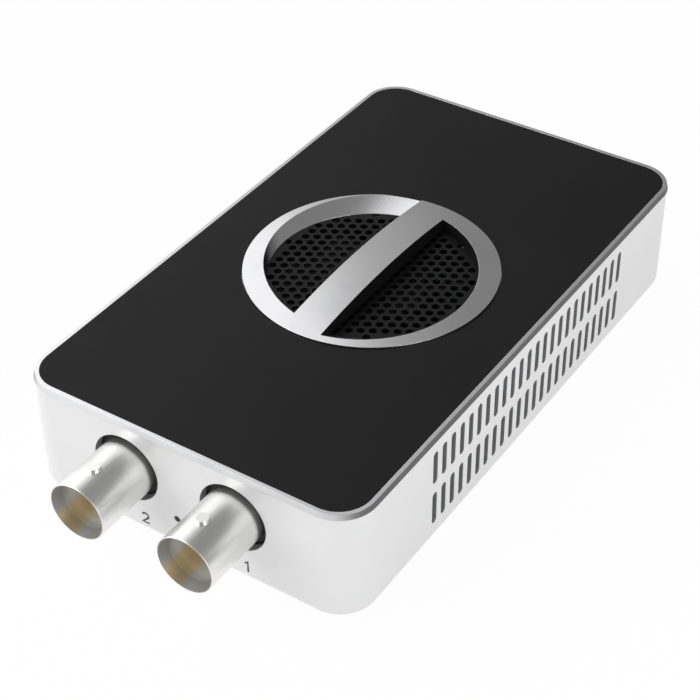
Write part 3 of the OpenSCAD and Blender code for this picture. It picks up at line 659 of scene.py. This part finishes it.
@dataclass(frozen=True)
class WoundWire(Finish):
    """Turns of enamelled wire, side by side, with painted shade in the grooves between them."""

    colour: Colour = (0.50, 0.17, 0.05)
    # Dark colour between the turns: painted shade in the grooves.
    turn_shade: Colour = (0.10, 0.03, 0.01)
    wire: float = 0.22 * MM
    depth: float = 0.08 * MM
    edge: float = 0.05 * MM
    centre: Triple = ORIGIN

    def paint(self, graph: Graph) -> None:
        """Adds the winding's nodes."""
        x, y, _ = graph.axes(graph.vector("SUBTRACT", graph.place(), self.centre))
        radius = graph.length(graph.join(x, y, 0.0))
        turns = graph.maths("SINE", radius * (math.tau / self.wire), 0.0) * 0.5 + 0.5
        graph.surface(
            base_color=graph.mix(turns.ramp(0.1, 0.5), self.turn_shade, self.colour),
            metallic=0.6,
            roughness=0.42 - turns * 0.1,
            normal=graph.bump(turns, self.depth, 0.7, self.edge),
        )


@dataclass(frozen=True)
class Lens(Finish):
    """Smoked clear plastic with a polished end."""

    colour: Colour = (0.018, 0.018, 0.02)
    bright: Colour = (0.06, 0.06, 0.066)
    swirl_size: float = 0.5 * MM
    depth: float = 0.01 * MM
    edge: float = 0.12 * MM

    def paint(self, graph: Graph) -> None:
        """Adds the lens's nodes."""
        swirl = graph.noise(graph.place(), self.swirl_size)
        graph.surface(
            base_color=graph.mix(swirl.ramp(0.4, 0.7), self.colour, self.bright),
            roughness=0.18 + swirl * 0.12,
            specular=0.22,
            normal=graph.bump(swirl, self.depth, 0.3, self.edge),
        )


class Palette:
    """Makes each finish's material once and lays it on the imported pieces."""

    def __init__(self, nodes: Mapping[str, bpy.types.Object]) -> None:
        """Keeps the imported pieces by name."""
        self.nodes = nodes
        self.made: dict[Finish, bpy.types.Material] = {}

    def material(self, finish: Finish) -> bpy.types.Material:
        """The finish's one material."""
        if finish not in self.made:
            self.made[finish] = finish.material()
        return self.made[finish]

    def lay(self, finish: Finish, *names: str) -> None:
        """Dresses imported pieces.

        Args:
            finish: What they are dressed in.
            *names: The pieces' names.
        """
        for name in names:
            slots = self.nodes[name].material_slots
            if not slots:
                self.nodes[name].data.materials.append(None)
            for slot in slots:
                slot.material = self.material(finish)
            LOG.info("%s: %s", name, finish.name)


@dataclass
class Housing:
    """The walls, the base and what they stand on."""

    paint: WallPaint = WallPaint(
        "shell_paint",
        (0.86, 0.86, 0.86),
        (0.835, 0.835, 0.84),
        (0.88, 0.88, 0.88),
        roughness=0.36,
        specular=0.5,
        flake=0.35,
    )
    base_paint: Paint = Paint("base_paint", (0.70, 0.70, 0.705), (0.66, 0.66, 0.665), (0.78, 0.78, 0.78))
    foot_rubber: Rubber = Rubber("foot_rubber", (0.02, 0.02, 0.02), (0.05, 0.05, 0.05))
    screw_metal: Metal = Metal("screw_zinc", (0.52, 0.52, 0.53), (0.34, 0.34, 0.33), 0.32, Grain.BLASTED)

    def dress(self, palette: Palette) -> None:
        """Lays the housing's finishes."""
        palette.lay(self.paint, "body_shell")
        palette.lay(self.base_paint, "base_cover")
        palette.lay(self.foot_rubber, "rubber_feet")
        palette.lay(self.screw_metal, "case_screws", "board_screws", "fan_screws", "fan_shaft")


@dataclass
class TopCover:
    """The frame round the top and the black panel in it."""

    frame_metal: EdgedMetal = EdgedMetal(
        "frame_metal",
        (0.72, 0.72, 0.73),
        (0.52, 0.52, 0.53),
        0.24,
        Grain.BRUSHED,
    )
    panel_paint: Paint = Paint(
        "panel_black",
        (0.0082, 0.0082, 0.0084),
        (0.0072, 0.0072, 0.0075),
        (0.022, 0.022, 0.023),
        roughness=0.46,
        skin=0.22 * MM,
        edge_share=0.6,
        specular=0.14,
    )

    def dress(self, palette: Palette) -> None:
        """Lays the top's finishes."""
        palette.lay(self.frame_metal, "top_frame")
        palette.lay(self.panel_paint, "top_panel")


@dataclass
class Grille:
    """The domed ring with its cross bar, and the mesh under it."""

    ring_metal: OpenedMetal = OpenedMetal(
        "ring_metal",
        (0.66, 0.66, 0.67),
        (0.58, 0.58, 0.59),
        0.24,
        Grain.BLASTED,
        pitch=0.2 * MM,
        centre=(0.0, CENTRE_Y, 0.0),
        edge=0.1 * MM,
    )
    mesh_paint: Paint = Paint(
        "mesh_black",
        (0.006, 0.006, 0.006),
        (0.008, 0.008, 0.008),
        (0.026, 0.026, 0.026),
        roughness=0.38,
        edge=0.06 * MM,
        specular=0.14,
    )

    def dress(self, palette: Palette) -> None:
        """Lays the grille's finishes."""
        palette.lay(self.ring_metal, "grille_ring")
        palette.lay(self.mesh_paint, "grille_mesh")


@dataclass
class CoaxialSocket:
    """One bayonet socket, from its plated barrel to its centre contact."""

    side: str
    axis_x: float
    axis_z: float = 12.55 * MM

    def dress(self, palette: Palette) -> None:
        """Lays the socket's finishes, with the tool marks round its own axis."""
        centre = (self.axis_x, 0.0, self.axis_z)
        nickel = BoredMetal(
            f"{self.side}_nickel",
            (0.84, 0.84, 0.83),
            (0.72, 0.71, 0.69),
            0.32,
            Grain.TURNED_LENGTHWISE,
            centre=centre,
            streak=0.06,
        )
        gold = Metal(
            f"{self.side}_gold",
            (0.80, 0.57, 0.24),
            (0.55, 0.36, 0.13),
            0.24,
            Grain.TURNED_LENGTHWISE,
            centre=centre,
        )
        waxy = Moulded("insulator_white", (0.74, 0.72, 0.66), (0.62, 0.58, 0.48), 0.45, subsurface=0.3)
        block = Moulded("socket_block", (0.030, 0.030, 0.032), (0.06, 0.06, 0.06), 0.4)
        palette.lay(nickel, f"{self.side}_barrel")
        palette.lay(gold, f"{self.side}_contact")
        palette.lay(waxy, f"{self.side}_insulator")
        palette.lay(block, f"{self.side}_block")


@dataclass
class BackSockets:
    """The data socket and the two sound jacks."""

    shell_metal: Metal = Metal("socket_tin", (0.62, 0.62, 0.61), (0.42, 0.41, 0.39), 0.28, Grain.BRUSHED)
    tongue: Moulded = Moulded("tongue_blue", (0.010, 0.055, 0.36), (0.03, 0.10, 0.45), 0.42)
    contact: Metal = Metal("contact_gold", (0.80, 0.57, 0.24), (0.55, 0.36, 0.13), 0.22, Grain.BRUSHED)
    jack: Moulded = Moulded("jack_black", (0.014, 0.014, 0.015), (0.03, 0.03, 0.03), 0.4)

    def dress(self, palette: Palette) -> None:
        """Lays the back sockets' finishes."""
        palette.lay(self.shell_metal, "usb_shell", "jack_contacts")
        palette.lay(self.tongue, "usb_tongue")
        palette.lay(self.contact, "usb_contacts")
        palette.lay(self.jack, "headphone_jack", "microphone_jack")


@dataclass
class Electronics:
    """The circuit board, what it carries, and the status light."""

    board: CircuitBoard = CircuitBoard("board_mask")
    chip: Moulded = Moulded("chip_resin", (0.016, 0.016, 0.017), (0.03, 0.03, 0.03), 0.55)
    pad: Rubber = Rubber("pad_silicone", (0.24, 0.36, 0.48), (0.36, 0.44, 0.50), 0.2 * MM, 0.01 * MM)
    sink: Metal = Metal("sink_anodised", (0.09, 0.09, 0.10), (0.05, 0.05, 0.055), 0.42, Grain.BRUSHED)
    ferrite: Moulded = Moulded("ferrite_powder", (0.07, 0.07, 0.075), (0.12, 0.12, 0.12), 0.6, 0.12 * MM)
    can: Metal = Metal("can_drawn", (0.68, 0.69, 0.71), (0.50, 0.51, 0.53), 0.3, Grain.BRUSHED)
    white: Moulded = Moulded("header_nylon", (0.70, 0.68, 0.60), (0.60, 0.57, 0.47), 0.4, subsurface=0.2)
    lens: Lens = Lens("light_smoke")

    def dress(self, palette: Palette) -> None:
        """Lays the electronics' finishes."""
        palette.lay(self.board, "main_board", "fan_driver_board")
        palette.lay(self.chip, "video_processor", "memory_chips", "support_chips")
        palette.lay(self.pad, "thermal_pad")
        palette.lay(self.sink, "heat_sink")
        palette.lay(self.ferrite, "power_inductors")
        palette.lay(self.can, "filter_capacitors")
        palette.lay(self.white, "heat_sink_pins", "status_led", "fan_header")
        palette.lay(self.lens, "light_pipe")


@dataclass
class Fan:
    """The cooling fan under the grille."""

    axis: Triple = (0.0, CENTRE_Y, 0.0)
    plastic: Moulded = Moulded("fan_plastic", (0.012, 0.012, 0.013), (0.03, 0.03, 0.03), 0.45)
    foam: Rubber = Rubber("gasket_foam", (0.02, 0.02, 0.02), (0.035, 0.035, 0.035), 0.4 * MM)
    bronze: Metal = Metal("bearing_bronze", (0.48, 0.29, 0.12), (0.30, 0.17, 0.07), 0.4, Grain.BLASTED)
    magnet: Metal = Metal("magnet_bonded", (0.07, 0.07, 0.075), (0.04, 0.04, 0.04), 0.5, Grain.BLASTED)
    wire: Moulded = Moulded("wire_red", (0.36, 0.02, 0.02), (0.46, 0.06, 0.05), 0.45)

    def dress(self, palette: Palette) -> None:
        """Lays the fan's finishes, with the winding round its own axis."""
        core = Metal(
            "core_laminated",
            (0.30, 0.31, 0.33),
            (0.18, 0.18, 0.19),
            0.45,
            Grain.TURNED_UPRIGHT,
            centre=self.axis,
        )
        palette.lay(self.plastic, "fan_frame", "fan_rotor")
        palette.lay(self.foam, "fan_gasket")
        palette.lay(self.bronze, "fan_bearing")
        palette.lay(core, "fan_stator")
        palette.lay(WoundWire("coil_copper", centre=self.axis), "fan_coils")
        palette.lay(self.magnet, "fan_magnet")
        palette.lay(self.wire, "fan_lead")


@dataclass
class PrintedNumbers:
    """Plain numbers printed on the front wall, one beside each socket."""

    height: float = 2.0 * MM
    stroke: float = 0.34 * MM
    sharpest: float = 0.6
    film: float = 0.012 * MM
    sunk: float = 0.0024 * MM
    centre_z: float = 3.8 * MM
    ink: Paint = Paint(
        "printed_ink",
        (0.05, 0.05, 0.052),
        (0.06, 0.06, 0.062),
        (0.10, 0.10, 0.10),
        roughness=0.5,
        skin=0.08 * MM,
        skin_depth=0.004 * MM,
        edge=0.02 * MM,
    )

    ONE = ((-0.22, 0.28), (0.04, 0.5), (0.04, -0.5))
    TWO_ARC = (0.0, 0.21, 0.27)
    TWO_TURN = (165, -38)
    TWO_STEPS = 14
    TWO_FOOT = ((-0.29, -0.45), (0.32, -0.45))

    def strokes(self, number: int) -> list[Tuple[float, float]]:
        """The middle line of a number.

        Args:
            number: 1 or 2.

        Returns:
            Points across and up, in heights of the number.
        """
        if number == 1:
            return list(self.ONE)
        middle_x, middle_z, radius = self.TWO_ARC
        start, end = (math.radians(angle) for angle in self.TWO_TURN)
        turns = [start + (end - start) * i / self.TWO_STEPS for i in range(self.TWO_STEPS + 1)]
        arc = [(middle_x + radius * math.cos(a), middle_z + radius * math.sin(a)) for a in turns]
        return [*arc, *self.TWO_FOOT]

    def build(self, number: int, x: float, wall_y: float) -> bpy.types.Object:
        """Builds one number as a thin film of ink on the wall.

        Args:
            number: 1 or 2.
            x: Place of its middle.
            wall_y: The wall's outer face.

        Returns:
            The piece.
        """
        middle = Vector((x, self.centre_z))
        points = [middle + Vector(stroke) * self.height for stroke in self.strokes(number)]
        mesh = bmesh.new()
        left, right = [], []
        for i, point in enumerate(points):
            before = (point - points[i - 1]).normalized() if i else None
            after = (points[i + 1] - point).normalized() if i + 1 < len(points) else None
            along = ((before or after) + (after or before)).normalized()
            lean = max(along.dot(after or before), self.sharpest)
            side = Vector((-along.y, along.x)) * self.stroke / 2 / lean
            left.append(mesh.verts.new((point.x + side.x, wall_y - self.film, point.y + side.y)))
            right.append(mesh.verts.new((point.x - side.x, wall_y - self.film, point.y - side.y)))
        for i in range(len(points) - 1):
            mesh.faces.new((left[i], right[i], right[i + 1], left[i + 1]))
        bmesh.ops.recalc_face_normals(mesh, faces=mesh.faces)
        base = bmesh.ops.extrude_face_region(mesh, geom=list(mesh.faces))
        lowered = [item for item in base["geom"] if isinstance(item, bmesh.types.BMVert)]
        bmesh.ops.translate(mesh, vec=(0.0, self.film + self.sunk, 0.0), verts=lowered)
        bmesh.ops.recalc_face_normals(mesh, faces=mesh.faces)
        data = bpy.data.meshes.new(f"printed_{number}")
        mesh.to_mesh(data)
        mesh.free()
        piece = bpy.data.objects.new(f"printed_{number}", data)
        bpy.context.scene.collection.objects.link(piece)
        return piece

    def dress(self, palette: Palette, wall_y: float, places: Mapping[int, float]) -> None:
        """Builds the numbers and lays their ink.

        Args:
            palette: Makes the ink's material.
            wall_y: The wall's outer face.
            places: Where each number stands across the front.
        """
        for number, x in places.items():
            piece = self.build(number, x, wall_y)
            piece.data.materials.append(palette.material(self.ink))
            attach(piece, "housing")
            LOG.info("%s: %s", piece.name, self.ink.name)


@dataclass(frozen=True)
class Lamp:
    """One soft square lamp."""

    name: str
    place: Triple
    size: float
    power: float

    def build(self, target: Triple) -> None:
        """Hangs the lamp.

        Args:
            target: What it points at.
        """
        data = bpy.data.lights.new(self.name, "AREA")
        data.size = self.size
        data.energy = self.power
        lamp = bpy.data.objects.new(self.name, data)
        lamp.location = self.place
        way = Vector(target) - Vector(self.place)
        lamp.rotation_euler = way.to_track_quat("-Z", "Y").to_euler()
        bpy.context.scene.collection.objects.link(lamp)
        LOG.info("%s: %.2f W", self.name, self.power)


@dataclass
class Studio:
    """The floor, the soft surround and the lamps."""

    floor_half: float = 4.0
    floor_cells: int = 8
    floor_colour: Colour = (0.9, 0.9, 0.9)
    white_share: float = 0.97
    dim: float = 0.27
    glow: float = 0.26
    bright: float = 0.9
    bright_way: Triple = (-0.954, -0.212, 0.30)
    glow_from: float = 0.25
    glow_to: float = 0.47
    bright_from: float = 0.47
    bright_to: float = 0.61
    target: Triple = (0.0, 0.0, 10 * MM)
    lamps: Tuple[Lamp, ...] = (
        Lamp("side_lamp", (0.31, -0.11, 0.15), 0.2, 0.43),
        Lamp("front_lamp", (-0.20, -0.22, 0.15), 0.15, 0.16),
        Lamp("top_lamp", (-0.21, 0.135, 0.58), 0.2, 0.09),
    )

    def floor(self) -> None:
        """Lays the pale floor, which shows white, keeps a soft shadow and is clear from below."""
        mesh = bmesh.new()
        cells = self.floor_cells
        bmesh.ops.create_grid(mesh, x_segments=cells, y_segments=cells, size=self.floor_half)
        data = bpy.data.meshes.new("floor")
        mesh.to_mesh(data)
        mesh.free()
        floor = bpy.data.objects.new("floor", data)
        bpy.context.scene.collection.objects.link(floor)
        made = bpy.data.materials.new("floor_white")
        made.use_nodes = True
        graph = Graph(made.node_tree)
        matte = graph.add("ShaderNodeBsdfDiffuse", {}, {"Color": (*self.floor_colour, 1.0)})
        white = graph.add("ShaderNodeEmission", {}, {"Color": WHITE, "Strength": 1.0})
        share = self.seen(graph) * self.white_share
        above = graph.add("ShaderNodeMixShader", {}, {0: share, 1: matte, 2: white})
        below = graph.add("ShaderNodeNewGeometry", {}, {}, "Backfacing")
        clear = graph.add("ShaderNodeBsdfTransparent", {}, {})
        shader = graph.add("ShaderNodeMixShader", {}, {0: below, 1: above, 2: clear})
        graph.add("ShaderNodeOutputMaterial", {}, {"Surface": shader})
        data.materials.append(made)
        LOG.info("floor: %s", made.name)

    @staticmethod
    def seen(graph: Graph) -> Signal:
        """1 for what the eye, a mirror or a glass looks at, and 0 for light."""
        names = ("Is Camera Ray", "Is Glossy Ray", "Is Transmission Ray")
        camera, glossy, through = (graph.add("ShaderNodeLightPath", {}, {}, name) for name in names)
        return graph.maths("MAXIMUM", graph.maths("MAXIMUM", camera, glossy), through)

    def surround(self) -> None:
        """Makes the soft surround, bright from the left and dim elsewhere, which looks plain white."""
        world = bpy.data.worlds.new("surround")
        bpy.context.scene.world = world
        world.use_nodes = True
        graph = Graph(world.node_tree)
        way = graph.add("ShaderNodeTexCoord", {}, {}, "Generated")
        lobe = graph.dot(way, self.bright_way)
        glow = lobe.ramp(self.glow_from, self.glow_to) * self.glow
        level = self.dim + glow + lobe.ramp(self.bright_from, self.bright_to) * self.bright
        eye = graph.add("ShaderNodeLightPath", {}, {}, "Is Camera Ray")
        strength = level + eye * (1 - level)
        sky = graph.add("ShaderNodeBackground", {}, {"Color": WHITE, "Strength": strength})
        graph.add("ShaderNodeOutputWorld", {}, {"Surface": sky})

    def build(self) -> None:
        """Sets up the whole studio."""
        self.floor()
        self.surround()
        for lamp in self.lamps:
            lamp.build(self.target)


@dataclass(frozen=True)
class PhotoCamera:
    """The photo's own camera."""

    place: Triple = (126.23 * MM, -190.05 * MM, 191.66 * MM)
    right: Triple = (0.83535528, 0.54965028, -0.00813187)
    up: Triple = (-0.33905622, 0.52682687, 0.77941922)
    back: Triple = (0.43269208, -0.6483348, 0.62644996)
    lens: float = 92.36
    sensor: float = 36.0
    near: float = 10 * MM

    def build(self) -> None:
        """Stands the camera where the photo was taken."""
        data = bpy.data.cameras.new("photo_camera")
        data.lens = self.lens
        data.sensor_width = self.sensor
        data.clip_start = self.near
        camera = bpy.data.objects.new("photo_camera", data)
        turn = Matrix((self.right, self.up, self.back)).transposed().to_4x4()
        camera.matrix_world = Matrix.Translation(self.place) @ turn
        bpy.context.scene.collection.objects.link(camera)
        bpy.context.scene.camera = camera


def main() -> None:
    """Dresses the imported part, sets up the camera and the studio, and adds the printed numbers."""
    logging.basicConfig(level=logging.INFO, format="%(message)s")
    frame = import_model()
    bpy.context.scene.view_settings.view_transform = "Standard"
    palette = Palette(frame["nodes"])
    PhotoCamera().build()
    Studio().build()
    Housing().dress(palette)
    TopCover().dress(palette)
    Grille().dress(palette)
    CoaxialSocket("input", INPUT_X).dress(palette)
    CoaxialSocket("loop", LOOP_X).dress(palette)
    BackSockets().dress(palette)
    Electronics().dress(palette)
    Fan().dress(palette)
    wall_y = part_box("body_shell")[0].y
    PrintedNumbers().dress(palette, wall_y, NUMBER_PLACES)


if __name__ == "__main__":
    main()
